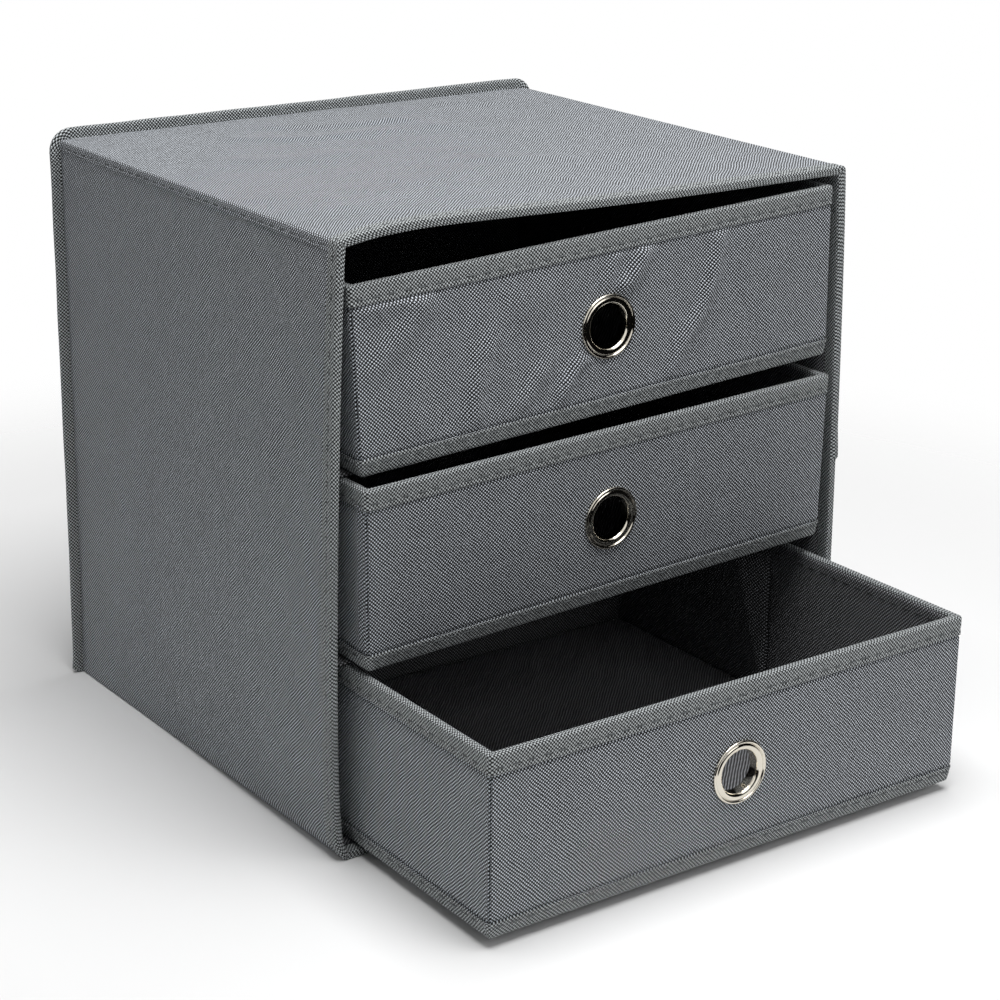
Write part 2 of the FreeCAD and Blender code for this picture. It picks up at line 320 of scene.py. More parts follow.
def puff_lining(points, side):
    """Behind the upright fold, a drawer's lining stands off the side wall in a wedge that
    is wide at the rim and runs to a point at the floor. side is the wall's inner face."""
    x, y, z = points[:, 0], points[:, 1], points[:, 2]
    up = np.clip(z / DRAWER_H, 0, 1)
    behind = (y - DRAWER_D / 2) / MM
    peak = 1.5 + 23.5 * up
    share = behind / peak
    puff = (0.8 + 8.2 * up) * np.interp(share, [0, 0.12, 0.9, 1.0, 1.15, 4.0],
                                        [0, 0.12, 0.93, 1.0, 0.93, 0])
    puff *= (behind > 0) * (1 - 0.9 * smooth(0.8, 0.95, up))
    valley = np.interp(behind, [-0.9, 0.3, 2.4], [0, -2.5, 0])
    valley *= 1 - smooth(0.86, 0.94, up)
    inward = -1 if side > DRAWER_W / 2 else 1
    on_wall = np.abs(x - side) < 1.5 * MM
    moved = points.copy()
    moved[:, 0] += inward * (puff + valley) * MM * on_wall
    return moved


# ---- Mesh builders ---------------------------------------------------------------------
def add_object(name, mesh, material):
    """Puts a mesh in the scene with one material and smooth faces."""
    mesh.polygons.foreach_set("use_smooth", [True] * len(mesh.polygons))
    mesh.materials.append(material)
    piece = bpy.data.objects.new(name, mesh)
    bpy.context.scene.collection.objects.link(piece)
    return piece


def thicken(piece, thickness, side):
    """Gives a sheet its thickness, to the back (-1) or to the front (1) of its faces."""
    shell = piece.modifiers.new("Thickness", "SOLIDIFY")
    shell.thickness = thickness
    shell.offset = side
    return shell


def grid(name, points, uvs, closed, material, thickness=0.0, flip=False):
    """A sheet from rows of points, with its UV map in metres. A closed sheet joins its last
    column to its first, and its uvs then have one column more than its points."""
    rows, columns = points.shape[:2]
    spans = columns if closed else columns - 1
    i, j = np.meshgrid(np.arange(rows - 1), np.arange(spans), indexing="ij")
    right = (j + 1) % columns
    corners = [i * columns + j, i * columns + right, (i + 1) * columns + right,
               (i + 1) * columns + j]
    places = [uvs[i, j], uvs[i, j + 1], uvs[i + 1, j + 1], uvs[i + 1, j]]
    if flip:
        corners.reverse()
        places.reverse()
    faces = np.stack(corners, -1).reshape(-1, 4)
    mesh = bpy.data.meshes.new(name)
    mesh.from_pydata(points.reshape(-1, 3).tolist(), [], faces.tolist())
    layer = mesh.uv_layers.new(name="UVMap")
    layer.data.foreach_set("uv", np.stack(places, -2).reshape(-1).astype(np.float32))
    piece = add_object(name, mesh, material)
    if thickness:
        shell = thicken(piece, thickness, -1)
        shell.use_even_offset = True
        shell.thickness_clamp = 1.5
    return piece


def round_rectangle(size, inset, radius, step, arc_steps=6):
    """Points round a rectangle with rounded corners, counter-clockwise from its lower left
    corner, and the way out at each. Every inset gives the same number of points."""
    width, height = size
    turn = max(radius - inset, 0.35 * MM)
    near = inset + turn
    centres = [(near, near), (width - near, near), (width - near, height - near),
               (near, height - near)]
    points, normals = [], []
    for k, (cx, cy) in enumerate(centres):
        for i in range(arc_steps + 1):
            angle = math.radians(180 + 90 * k + 90 * i / arc_steps)
            way = (math.cos(angle), math.sin(angle))
            points.append((cx + turn * way[0], cy + turn * way[1]))
            normals.append(way)
        following = centres[(k + 1) % 4]
        start = points[-1]
        run = (following[0] - cx, following[1] - cy)
        count = round((width if k % 2 == 0 else height) / step)
        for i in range(1, count):
            points.append((start[0] + run[0] * i / count, start[1] + run[1] * i / count))
            normals.append(way)
    return np.array(points), np.array(normals)


def run_lengths(points, closed=False):
    """Length run along a line of points at each of them, and back at the start if closed."""
    line = np.vstack([points, points[:1]]) if closed else points
    steps = np.linalg.norm(np.diff(line, axis=0), axis=1)
    return np.concatenate([[0], np.cumsum(steps)])


def shaped(points, form):
    """Bends a grid of points with a form that takes one plain row of them."""
    return form(points.reshape(-1, 3)).reshape(points.shape)


def at_height(loop, height):
    """The points of a flat loop, all at one height."""
    return np.stack([loop[:, 0], loop[:, 1], np.full(len(loop), height)], -1)


def band(name, size, radius, step, section, place, form, material, thickness,
         relief=None, flip=False):
    """A band of cloth round a rectangle. The section is a list of (inset from the outside,
    height along the third axis); place puts (across, up, height) in the frame, form bends
    the result, and relief gives how far the cloth sinks, from (length run, place in the
    section)."""
    outer, _ = round_rectangle(size, 0, radius, step)
    run = run_lengths(outer, closed=True)
    girth = run_lengths(np.array(section))
    rows = []
    for (inset, height), along in zip(section, girth):
        loop, normals = round_rectangle(size, inset, radius, step)
        if relief is not None:
            loop = loop - normals * relief(run[:-1], along)[:, None]
        rows.append(place(loop[:, 0], loop[:, 1], np.full(len(loop), height)))
    points = shaped(np.stack(rows), form)
    uvs = np.stack(np.meshgrid(run, girth), -1)
    return grid(name, points, uvs, True, material, thickness, flip)


def arc(centre, radius, start, end, steps):
    """Points on an arc between two angles in degrees."""
    angles = np.radians(np.linspace(start, end, steps + 1))
    return [(centre[0] + radius * math.cos(a), centre[1] + radius * math.sin(a))
            for a in angles]


def straight(start, end, step):
    """Points from start up to, but without, end, no further apart than step."""
    count = max(1, math.ceil(math.dist(start, end) / step))
    return [(start[0] + (end[0] - start[0]) * i / count,
             start[1] + (end[1] - start[1]) * i / count) for i in range(count)]


def stitches(name, lines, material, seed):
    """Rows of thread. Each line is (points, ways out of the cloth); a stitch is a short
    thread whose ends dip into the cloth."""
    sizes = bpy.context.scene.chest_sizes
    chance = random.Random(seed)
    stations = [(0.0, 0.3, -1.2), (0.1, 0.9, -0.1), (0.35, 1.0, 0.35), (0.65, 1.0, 0.35),
                (0.9, 0.9, -0.1), (1.0, 0.3, -1.2)]
    sides = 6
    vertices, faces = [], []
    for points, normals in lines:
        run = run_lengths(points)
        place = 0.5 * sizes.stitch_pitch
        while place + sizes.stitch_length < run[-1]:
            size = sizes.thread_radius * chance.uniform(0.85, 1.1)
            start = place + chance.uniform(-0.2, 0.2) * MM
            base = len(vertices)
            for share, width, lift in stations:
                at = start + share * sizes.stitch_length
                centre = Vector([np.interp(at, run, points[:, k]) for k in range(3)])
                ahead = Vector([np.interp(at + MM, run, points[:, k]) for k in range(3)])
                out = Vector([np.interp(at, run, normals[:, k]) for k in range(3)])
                out.normalize()
                along = (ahead - centre).normalized()
                beside = along.cross(out).normalized()
                for k in range(sides):
                    angle = 2 * math.pi * k / sides
                    spoke = out * math.cos(angle) + beside * math.sin(angle)
                    vertices.append(centre + out * lift * size + spoke * width * size)
            for ring in range(len(stations) - 1):
                for k in range(sides):
                    a = base + ring * sides + k
                    b = base + ring * sides + (k + 1) % sides
                    faces.append((a, b, b + sides, a + sides))
            faces.append(tuple(base + k for k in range(sides))[::-1])
            faces.append(tuple(base + (len(stations) - 1) * sides + k for k in range(sides)))
            place += sizes.stitch_pitch
    mesh = bpy.data.meshes.new(name)
    mesh.from_pydata([tuple(v) for v in vertices], [], faces)
    return add_object(name, mesh, material)


def turned(name, outline, centre, steps, material):
    """A shape turned about the Y axis through centre. The outline is a closed ring of
    (radius, distance in front)."""
    angles = np.linspace(0, 2 * math.pi, steps, endpoint=False)
    ring = np.array(outline)
    radius, front = ring[:, 0][:, None], ring[:, 1][:, None]
    x = centre[0] + radius * np.cos(angles)[None]
    y = centre[1] - front + 0 * angles[None]
    z = centre[2] + radius * np.sin(angles)[None]
    points = np.stack([x, y, z], -1)
    points = np.concatenate([points, points[:1]])
    uvs = np.stack(np.meshgrid(np.linspace(0, 2 * math.pi, steps + 1) * outline[0][0],
                               run_lengths(ring, closed=True)), -1)
    piece = grid(name, points, uvs, True, material)
    clean = bmesh.new()
    clean.from_mesh(piece.data)
    bmesh.ops.remove_doubles(clean, verts=clean.verts, dist=1e-7)
    bmesh.ops.recalc_face_normals(clean, faces=clean.faces)
    clean.to_mesh(piece.data)
    clean.free()
    return piece


def bent_copy(node, form, material, place=None):
    """A construction part cut finer and bent with its wall, which it then stands for."""
    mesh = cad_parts[node].data.copy()
    work = bmesh.new()
    work.from_mesh(mesh)
    bmesh.ops.remove_doubles(work, verts=work.verts, dist=1e-6)
    longest = 12 * MM
    for _ in range(6):
        edges = [e for e in work.edges if e.calc_length() > longest]
        if not edges:
            break
        bmesh.ops.subdivide_edges(work, edges=edges, cuts=1)
        bmesh.ops.triangulate(work, faces=[f for f in work.faces if len(f.verts) > 4])
    into = place.inverted() if place else Matrix.Identity(4)
    local = np.array([into @ v.co for v in work.verts])
    bent = form(local)
    back = place if place else Matrix.Identity(4)
    for vertex, spot in zip(work.verts, bent):
        vertex.co = back @ Vector(spot)
    work.to_mesh(mesh)
    work.free()
    mesh.materials.clear()
    piece = add_object(node + "_bent", mesh, material)
    mesh.polygons.foreach_set("use_smooth", [False] * len(mesh.polygons))
    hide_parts(node)
    return piece


def cut_round_hole(piece, centre, radius):
    """Opens a sheet round the eyelet's barrel and rounds the cut edge."""
    work = bmesh.new()
    work.from_mesh(piece.data)
    on_front = [f for f in work.faces
                if f.calc_center_median().y < 10 * MM
                and (f.calc_center_median().xz - centre).length < radius]
    bmesh.ops.delete(work, geom=on_front, context="FACES")
    for vertex in work.verts:
        away = vertex.co.xz - centre
        if vertex.is_boundary and vertex.co.y < 10 * MM and away.length < 1.5 * radius:
            away.normalize()
            vertex.co.x = centre.x + away.x * radius
            vertex.co.z = centre.y + away.y * radius
    work.to_mesh(piece.data)
    work.free()


def settle(piece, body, node=None, place=None):
    """Puts a finished piece where its drawer stands, and lets it ride on its body."""
    if place is not None:
        points = np.empty(len(piece.data.vertices) * 3, np.float32)
        piece.data.vertices.foreach_get("co", points)
        points = turn_front(points.reshape(-1, 3).astype(float), body.split("_")[0])
        piece.data.vertices.foreach_set("co", points.reshape(-1).astype(np.float32))
        piece.data.transform(place)
    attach(piece, body)
    if node:
        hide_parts(node)
    return piece


# ---- Materials -------------------------------------------------------------------------
def add(material, kind, inputs=None, **settings):
    """Adds a node with its settings. An input is a value or another node's output."""
    tree = material.node_tree
    node = tree.nodes.new(kind)
    for name, value in settings.items():
        setattr(node, name, value)
    for name, value in (inputs or {}).items():
        if isinstance(value, bpy.types.NodeSocket):
            tree.links.new(value, node.inputs[name])
        else:
            node.inputs[name].default_value = value
    return node


def new_material(name):
    """A material with no nodes in it yet."""
    material = bpy.data.materials.new(name)
    material.use_nodes = True
    material.node_tree.nodes.clear()
    return material


def finish_material(material, shader, socket="BSDF"):
    """Links a shader to the material's output."""
    out = add(material, "ShaderNodeOutputMaterial")
    material.node_tree.links.new(shader.outputs[socket], out.inputs["Surface"])
    return material


def rgba(value):
    """A colour property as red, green, blue and alpha."""
    return (value[0], value[1], value[2], 1.0)


def embossed_cloth(name, pitch, web, pit, threshold, fray, grain, roughness, wander):
    """Spunbond polypropylene, calendered between a plain and an engraved roll: a web of fine
    matt fibres with a staggered lattice of pressed bond points, which give the cloth its
    checkered grain and its faint watered bands. The pits' darkness and the web's lightness
    are partly the cloth's own and partly painted shade in the pits and painted highlight on
    the raised web. threshold sets the pits' share of the cloth, fray and grain how ragged
    their edges are, and wander how far the lattice strays."""
    depth = 0.6 * MM
    m = new_material(name)
    uv = add(m, "ShaderNodeUVMap", uv_map="UVMap")
    drift = add(m, "ShaderNodeTexNoise", {"Vector": uv.outputs[0], "Scale": 1 / (18 * MM),
                                          "Detail": 2.0, "Roughness": 0.5})
    centred = add(m, "ShaderNodeVectorMath", {0: drift.outputs["Color"], 1: (0.5, 0.5, 0.5)},
                  operation="SUBTRACT")
    offset = add(m, "ShaderNodeVectorMath", {0: centred.outputs[0], "Scale": wander},
                 operation="SCALE")
    strayed = add(m, "ShaderNodeVectorMath", {0: uv.outputs[0], 1: offset.outputs[0]},
                  operation="ADD")
    turns = add(m, "ShaderNodeVectorMath", {0: strayed.outputs[0],
                                            "Scale": 2 * math.pi / pitch}, operation="SCALE")
    axes = add(m, "ShaderNodeSeparateXYZ", {"Vector": turns.outputs[0]})
    across = add(m, "ShaderNodeMath", {0: axes.outputs[0]}, operation="COSINE")
    along = add(m, "ShaderNodeMath", {0: axes.outputs[1]}, operation="COSINE")
    lattice = add(m, "ShaderNodeMath", {0: across.outputs[0], 1: along.outputs[0]},
                  operation="MULTIPLY")
    fibres = add(m, "ShaderNodeTexNoise", {"Vector": uv.outputs[0], "Scale": 1 / grain,
                                           "Detail": 3.0, "Roughness": 0.65})
    frayed = add(m, "ShaderNodeMath", {0: fibres.outputs["Fac"], 1: fray,
                                       2: lattice.outputs[0]}, operation="MULTIPLY_ADD")
    threshold += fray / 2
    height = add(m, "ShaderNodeMapRange", {"Value": frayed.outputs[0],
                                           "From Min": threshold - 0.7,
                                           "From Max": threshold + 0.7},
                 interpolation_type="SMOOTHSTEP")
    tuft = add(m, "ShaderNodeMapRange", {"Value": frayed.outputs[0],
                                         "From Min": threshold - 0.25,
                                         "From Max": threshold + 0.25},
               interpolation_type="SMOOTHSTEP")
    cloudy = add(m, "ShaderNodeTexNoise", {"Vector": uv.outputs[0], "Scale": 1 / (35 * MM),
                                           "Detail": 4.0, "Roughness": 0.6})
    shade = add(m, "ShaderNodeMapRange", {"Value": cloudy.outputs["Fac"], "To Min": 0.9,
                                          "To Max": 1.1})
    # Painted shade and highlight: dark pits and light web, with more contrast than the cloth's
    # own colour, standing in for light and shade on the emboss.
    base = add(m, "ShaderNodeMix", {"Factor": tuft.outputs[0], "A": pit, "B": web},
               data_type="RGBA")
    cloud = add(m, "ShaderNodeVectorMath", {0: base.outputs["Result"],
                                            "Scale": shade.outputs[0]}, operation="SCALE")
    relief = add(m, "ShaderNodeBump", {"Height": height.outputs[0], "Distance": depth,
                                       "Strength": 1.0})
    shader = add(m, "ShaderNodeBsdfPrincipled", {
        "Base Color": cloud.outputs[0], "Roughness": roughness, "Normal": relief.outputs[0],
        "Sheen Weight": 0.15, "Sheen Roughness": 0.5, "IOR": 1.49,
        "Specular IOR Level": 0.35})
    return finish_material(m, shader)


def body_cloth():
    """Grey body cloth: the checkered grain of the outside. Its repeat is drawn a little
    coarser than the real 1.7 mm, so that it shows. Its near-white web and near-black pits
    are partly painted highlight and painted shade of the emboss."""
    s, c = bpy.context.scene.chest_sizes, bpy.context.scene.chest_colours
    return embossed_cloth("Embossed spunbond polypropylene, grey", s.body_pitch,
                          rgba(c.body), rgba(c.body_pit_painted_shade), threshold=0.28, fray=0.4,
                          grain=0.6 * MM, roughness=0.7, wander=2.2 * MM)


def tape_cloth():
    """Binding tape of a rougher emboss, drawn a little coarser than it is: small dark pits
    in a light open net. The pits' darkness is partly painted shade, and the net's lightness
    is partly painted highlight."""
    s, c = bpy.context.scene.chest_sizes, bpy.context.scene.chest_colours
    return embossed_cloth("Coarse spunbond binding tape, grey", s.tape_pitch,
                          rgba(c.tape), rgba(c.tape_pit_painted_shade), threshold=0.12,
                          fray=0.9, grain=1.0 * MM, roughness=0.75,
                          wander=1.5 * MM)


def lining_cloth():
    """Near-black lining with the same kind of emboss, which hardly shows in the dark. It is
    drawn lighter than its own near-black, as painted light for the drawers' shaded insides,
    and its pits are darkened as painted shade.
    """
    s, c = bpy.context.scene.chest_sizes, bpy.context.scene.chest_colours
    return embossed_cloth("Embossed spunbond polypropylene, black", s.lining_pitch,
                          rgba(c.lining), rgba(c.lining_pit_painted_shade), threshold=0.32, fray=0.4,
                          grain=0.6 * MM, roughness=0.7, wander=2.2 * MM)


def sewing_thread(name, tint):
    """Spun polyester thread: a dull twisted cord, whose twist is drawn at 0.8 mm, about
    twice its real length, so that it shows."""
    m = new_material(name)
    where = add(m, "ShaderNodeTexCoord")
    twist = add(m, "ShaderNodeTexNoise", {"Vector": where.outputs["Object"],
                                          "Scale": 1 / (0.8 * MM), "Detail": 1.0})
    tone = add(m, "ShaderNodeMapRange", {"Value": twist.outputs["Fac"], "To Min": 0.75,
                                         "To Max": 1.25})
    base = add(m, "ShaderNodeVectorMath", {0: tuple(tint), "Scale": tone.outputs[0]},
               operation="SCALE")
    shader = add(m, "ShaderNodeBsdfPrincipled", {"Base Color": base.outputs[0],
                                                 "Roughness": 0.6, "IOR": 1.53})
    return finish_material(m, shader)


def grey_board():
    """Grey board pressed from waste paper: dull and flecked with darker fibres."""
    c = bpy.context.scene.chest_colours
    m = new_material("Pressed grey board")
    where = add(m, "ShaderNodeTexCoord")
    fleck = add(m, "ShaderNodeTexNoise", {"Vector": where.outputs["Object"],
                                          "Scale": 1 / (1.5 * MM), "Detail": 4.0})
    tone = add(m, "ShaderNodeMapRange", {"Value": fleck.outputs["Fac"], "To Min": 0.7,
                                         "To Max": 1.3})
    base = add(m, "ShaderNodeVectorMath", {0: tuple(c.board), "Scale": tone.outputs[0]},
               operation="SCALE")
    relief = add(m, "ShaderNodeBump", {"Height": fleck.outputs["Fac"],
                                       "Distance": 0.05 * MM})
    shader = add(m, "ShaderNodeBsdfPrincipled", {"Base Color": base.outputs[0],
                                                 "Roughness": 0.9, "IOR": 1.5,
                                                 "Normal": relief.outputs[0]})
    return finish_material(m, shader)


def polished_nickel():
    """Pressed steel with bright nickel plate: a warm mirror with faint rub marks."""
    c = bpy.context.scene.chest_colours
    m = new_material("Bright nickel plate on pressed steel")
    where = add(m, "ShaderNodeTexCoord")
    rub = add(m, "ShaderNodeTexNoise", {"Vector": where.outputs["Object"],
                                        "Scale": 1 / (2.5 * MM), "Detail": 5.0})
    rough = add(m, "ShaderNodeMapRange", {"Value": rub.outputs["Fac"], "To Min": 0.06,
                                          "To Max": 0.16})
    shader = add(m, "ShaderNodeBsdfPrincipled", {
        "Base Color": rgba(c.nickel), "Metallic": 1.0, "Roughness": rough.outputs[0]})
    return finish_material(m, shader)


def grey_thread():
    """The thread of the tapes."""
    return sewing_thread("Spun polyester thread, grey", bpy.context.scene.chest_colours.thread)


def black_thread():
    """The thread of the linings."""
    return sewing_thread("Spun polyester thread, black",
                         bpy.context.scene.chest_colours.black_thread)


MAKERS = {"body": body_cloth, "tape": tape_cloth, "lining": lining_cloth,
          "thread": grey_thread, "black_thread": black_thread, "board": grey_board,
          "nickel": polished_nickel}
made = {}


def stuff(kind):
    """The material of that kind, made once."""
    if kind not in made:
        made[kind] = MAKERS[kind]()
    return made[kind]


# ---- Cabinet ---------------------------------------------------------------------------
def extrude_y(name, profile, y_span, step, material, thickness, form, flip=False):
    """A sheet whose outline in X and Z runs along Y."""
    count = max(2, math.ceil((y_span[1] - y_span[0]) / step) + 1)
    ys = np.linspace(y_span[0], y_span[1], count)
    line = np.array(profile)
    run = run_lengths(line)
    points = np.zeros((count, len(line), 3))
    points[:, :, 0] = line[:, 0][None]
    points[:, :, 1] = ys[:, None]
    points[:, :, 2] = line[:, 1][None]
    points = shaped(points, form)
    uvs = np.stack(np.meshgrid(run, ys), -1)
    return grid(name, points, uvs, False, material, thickness, flip)


def soften_wall(points):
    """Small unevenness of cloth over board, and the faint crease low on each side."""
    moved = bend_cabinet(points)
    x, y, z = points[:, 0], points[:, 1], points[:, 2]
    on_side = np.abs(x) > HALF_WIDTH - 1.5 * MM
    depth_share = (y - MOUTH_Y) / (BACK_Y - MOUTH_Y)
    crease_z = (88 - 17 * depth_share) * MM
    ridge = 0.35 * MM * np.exp(-((z - crease_z) / (1.2 * MM)) ** 2)
    wave = 0.35 * MM * ripple(points, 70 * MM, 3)
    edge = smooth(0, 0.06, np.minimum(z, HEIGHT - z) / HEIGHT)
    moved[:, 0] += np.sign(x) * on_side * (ridge + np.abs(wave)) * edge
    return moved


def make_wrap():
    """The strip of cloth up the left side, under the base and up the right side."""
    turn = 1.5 * MM
    top = HEIGHT - CLOTH
    left = straight((-HALF_WIDTH, top), (-HALF_WIDTH, turn), 5 * MM)
    left += arc((-HALF_WIDTH + turn, turn), turn, 180, 270, 5)
    base = straight((-HALF_WIDTH + turn, 0), (HALF_WIDTH - turn, 0), 6 * MM)[1:]
    right = [(-x, z) for x, z in reversed(left)]
    piece = extrude_y("wrap_cover_cloth", left + base + right, (TAPE_END_Y - 2 * MM, BACK_Y),
                      5 * MM, stuff("body"), CLOTH, soften_wall, flip=True)
    settle(piece, "cabinet", "wrap_cover")


# Creases of the top's cloth: points across and back in the chest's frame, half width and
# height, in millimetres.
TOP_CREASES = [
    ([(-60, 118), (-10, 92), (50, 84)], 5, 1.3),
    ([(-95, 98), (-40, 70), (20, 66)], 7, 1.2),
    ([(10, 120), (40, 60), (60, 10)], 9, 1.1),
    ([(70, 126), (110, 100)], 6, 1.1),
    ([(-120, 40), (-70, 20), (-30, 30)], 12, 0.9),
    ([(-20, -20), (50, -50), (110, -60)], 14, 0.9),
]


def tent_top(points):
    """The top's cloth: bent with its board, a little loose, with soft creases."""
    moved = bend_cabinet(points)
    x, y, z = points[:, 0] / MM, points[:, 1] / MM, points[:, 2]
    level = z > HEIGHT - 1.2 * MM
    lift = np.zeros(len(x))
    for line, width, height in TOP_CREASES:
        gap, share = distance_to_line(x, y, line)
        ends = smooth(0, 0.25, share) * (1 - smooth(0.75, 1, share))
        lift += height * ends * np.exp(-(gap / width) ** 2)
    inner = smooth(0, 25, HALF_WIDTH / MM - np.abs(x)) * smooth(0, 20, BACK_Y / MM - y)
    inner *= smooth(0, 20, y - MOUTH_Y / MM)
    slack = 0.5 * (1 + ripple(points, 60 * MM, 8))
    moved[:, 2] += level * inner * (lift + 0.7 * slack) * MM
    sizes = bpy.context.scene.chest_sizes
    run = points[:, 1] / sizes.stitch_pitch
    pulled = smooth(0.12, 0.22, np.abs(run - np.round(run)))
    down = (HEIGHT - z - LIP_SEAM * sizes.edge_lip) / (0.55 * MM)
    dent = 0.4 * MM * pulled * np.exp(-down ** 2) * (np.abs(points[:, 0]) > HALF_WIDTH)
    moved[:, 0] -= np.sign(points[:, 0]) * dent
    return moved


def make_top():
    """The top's cloth, turned down over both long edges and stitched through there."""
    lip = bpy.context.scene.chest_sizes.edge_lip
    out = HALF_WIDTH + 0.35 * MM
    turn = 1.3 * MM
    high = HEIGHT + 0.1 * MM
    left = straight((-out - 0.15 * MM, HEIGHT - lip), (-out, high - turn), 0.5 * MM)
    left += arc((-out + turn, high - turn), turn, 180, 90, 6)
    middle = straight((-out + turn, high), (out - turn, high), 4 * MM)[1:]
    right = [(-x, z) for x, z in reversed(left)]
    piece = extrude_y("top_cover_cloth", left + middle + right, (TAPE_END_Y - 2 * MM, BACK_Y),
                      1.5 * MM, stuff("body"), CLOTH, tent_top)
    settle(piece, "cabinet", "top_cover")


def slack_back(points):
    """The back's cloth has no board: it bellies out a little between its seams."""
    x, z = points[:, 0] / HALF_WIDTH, points[:, 2] / HEIGHT
    inner = (1 - x ** 4) * smooth(0, 0.12, z) * (1 - smooth(0.88, 1, z))
    fold = ripple(points * np.array([1.0, 1.0, 0.35]), 45 * MM, 5)
    pull = ripple(points @ np.array([[0.8, 0, 0.6], [0, 1, 0], [-0.6, 0, 0.8]]), 60 * MM, 11)
    moved = bend_cabinet(points)
    moved[:, 1] += inner * (2.0 + 1.1 * fold + 0.8 * pull) * MM
    return moved


def make_back():
    """The cloth of the back wall."""
    side = HALF_WIDTH - 0.2 * MM
    low, high = 0.8 * MM, HEIGHT - 0.4 * MM
    steps = 64
    xs, zs = np.linspace(-side, side, steps), np.linspace(low, high, steps)
    gx, gz = np.meshgrid(xs, zs)
    points = shaped(np.stack([gx, np.full_like(gx, BACK_Y), gz], -1), slack_back)
    uvs = np.stack([gx, gz], -1)
    piece = grid("back_cover_cloth", points, uvs, False, stuff("body"), CLOTH, flip=True)
    settle(piece, "cabinet", "back_cover")


def cabinet_band(name, radius, step, section, material, thickness, relief=None, form=None,
                 flip=False):
    """A band round the cabinet's four walls; a section's height is its place along Y."""
    size = (2 * HALF_WIDTH, HEIGHT)

    def place(across, up, depth):
        return np.stack([across - HALF_WIDTH, depth, up], -1)

    return band(name, size, radius, step, section, place, form or bend_cabinet, material,
                thickness, relief, flip)


def seam_relief(at, pitch):
    """A stitch row pulls the tape down in a groove at one place in its section, and the
    tape swells between one stitch and the next."""
    def sink(run, along):
        groove = math.exp(-((along - at) / (0.8 * MM)) ** 2)
        between = np.abs(run / pitch - np.round(run / pitch))
        swell = np.exp(-(between / 0.13) ** 2)
        return (0.35 - 0.75 * swell) * MM * groove
    return sink


def make_mouth_tape():
    """Binding tape folded over the front edge of the four walls. Half way up the right
    wall, where its ends meet, the upper end lies over the lower one."""
    pitch = bpy.context.scene.chest_sizes.stitch_pitch
    out, turn = -0.5 * MM, 1.3 * MM
    end = TAPE_END_Y + 0.2 * MM
    section = straight((out, end), (out, MOUTH_Y + turn), 0.55 * MM)
    section += arc((out + turn, MOUTH_Y + turn), turn, 180, 270, 4)
    inner = WALL - 1.0 * MM
    section += straight((out + turn, MOUTH_Y), (inner, MOUTH_Y), 0.8 * MM)[1:]
    section += arc((inner, MOUTH_Y + MM), MM, 270, 360, 3)
    section += straight((WALL, MOUTH_Y + MM), (WALL, end), 1.5 * MM)[1:] + [(WALL, end)]

    start, full, halved = 148, 150, 170     # the lap's step, in millimetres up the wall
    outward, forward = 1.1, 0.6             # how far it stands off there, in millimetres

    def lapped(points):
        moved = bend_cabinet(points)
        right_wall = smooth(HALF_WIDTH - WALL, HALF_WIDTH - 0.5 * WALL, points[:, 0])
        height = points[:, 2] / MM
        step = smooth(start, full, height) * (1 - 0.5 * smooth(full, halved, height))
        moved[:, 0] += right_wall * step * outward * MM
        moved[:, 1] -= right_wall * step * forward * MM
        moved[:, 2] = np.maximum(moved[:, 2], 0.0)
        return moved

    piece = cabinet_band("mouth_tape_binding", 1.6 * MM, 2.0 * MM, section, stuff("tape"),
                         TAPE, relief=seam_relief(4.0 * MM, pitch), form=lapped)
    settle(piece, "cabinet", "mouth_tape")


def make_back_welt():
    """The seam that stands out round the back, bound in tape, rounded at its lower ends."""
    welt_low, welt_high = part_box("back_welt")
    stand = welt_high.x - HALF_WIDTH
    thick = welt_high.y - welt_low.y
    corner, end_turn, step = 6.5 * MM, 3.0 * MM, 2.5 * MM
    side = HALF_WIDTH
    path = straight((-side, 0), (-side, HEIGHT - corner), step)
    path += arc((-side + corner, HEIGHT - corner), corner, 180, 90, 8)
    path += straight((-side + corner, HEIGHT), (0, HEIGHT), step)[1:]
    path += [(0, HEIGHT)] + [(-x, z) for x, z in reversed(path)]
    path = np.array(path)
    ahead = np.gradient(path, axis=0)
    ahead /= np.linalg.norm(ahead, axis=1)[:, None]
    out = np.stack([-ahead[:, 1], ahead[:, 0]], -1)
    low = np.clip(path[:, 1] / end_turn, 0, 1)
    reach = stand - end_turn + end_turn * np.sqrt(1 - (1 - low) ** 2)
    sag = 0.35 * MM * ripple(np.pad(path, ((0, 0), (0, 1))), 28 * MM, 21)
    half = thick / 2
    section = straight((-0.2, -half), (0.7, -half), 0.15)
    section += [(0.7 + 0.3 * math.sin(a), -half * math.cos(a))
                for a in np.linspace(0, math.pi, 7)]
    section += straight((0.7, half), (-0.05, half), 0.15)[1:] + [(-0.05, half)]
    rows = []
    for share, across in section:
        spot = path + out * (share * (reach + sag))[:, None]
        rows.append(np.stack([spot[:, 0], np.full(len(path), BACK_Y - half + across),
                              spot[:, 1]], -1))
    points = shaped(np.stack(rows), bend_cabinet)
    run = run_lengths(path)
    girth = np.linspace(0, 15 * MM, len(section))
    uvs = np.stack(np.meshgrid(run, girth), -1)
    piece = grid("back_welt_tape", points, uvs, False, stuff("tape"), 0.6 * MM)
    settle(piece, "cabinet", "back_welt")


def make_lining():
    """The black inner cloth: four walls and a back."""
    start, end = TAPE_END_Y - MM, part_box("cabinet_lining")[1].y - LINING
    section = straight((WALL, start), (WALL, end), 12 * MM) + [(WALL, end)]
    section += straight((WALL + 2 * MM, end), (HALF_WIDTH - 0.8 * MM, end), 12 * MM)
    section += [(HALF_WIDTH - 0.8 * MM, end)]
    piece = cabinet_band("cabinet_lining_cloth", 0.6 * MM, 6 * MM, section, stuff("lining"),
                         0.0)
    thicken(piece, LINING, -1)
    settle(piece, "cabinet", "cabinet_lining")


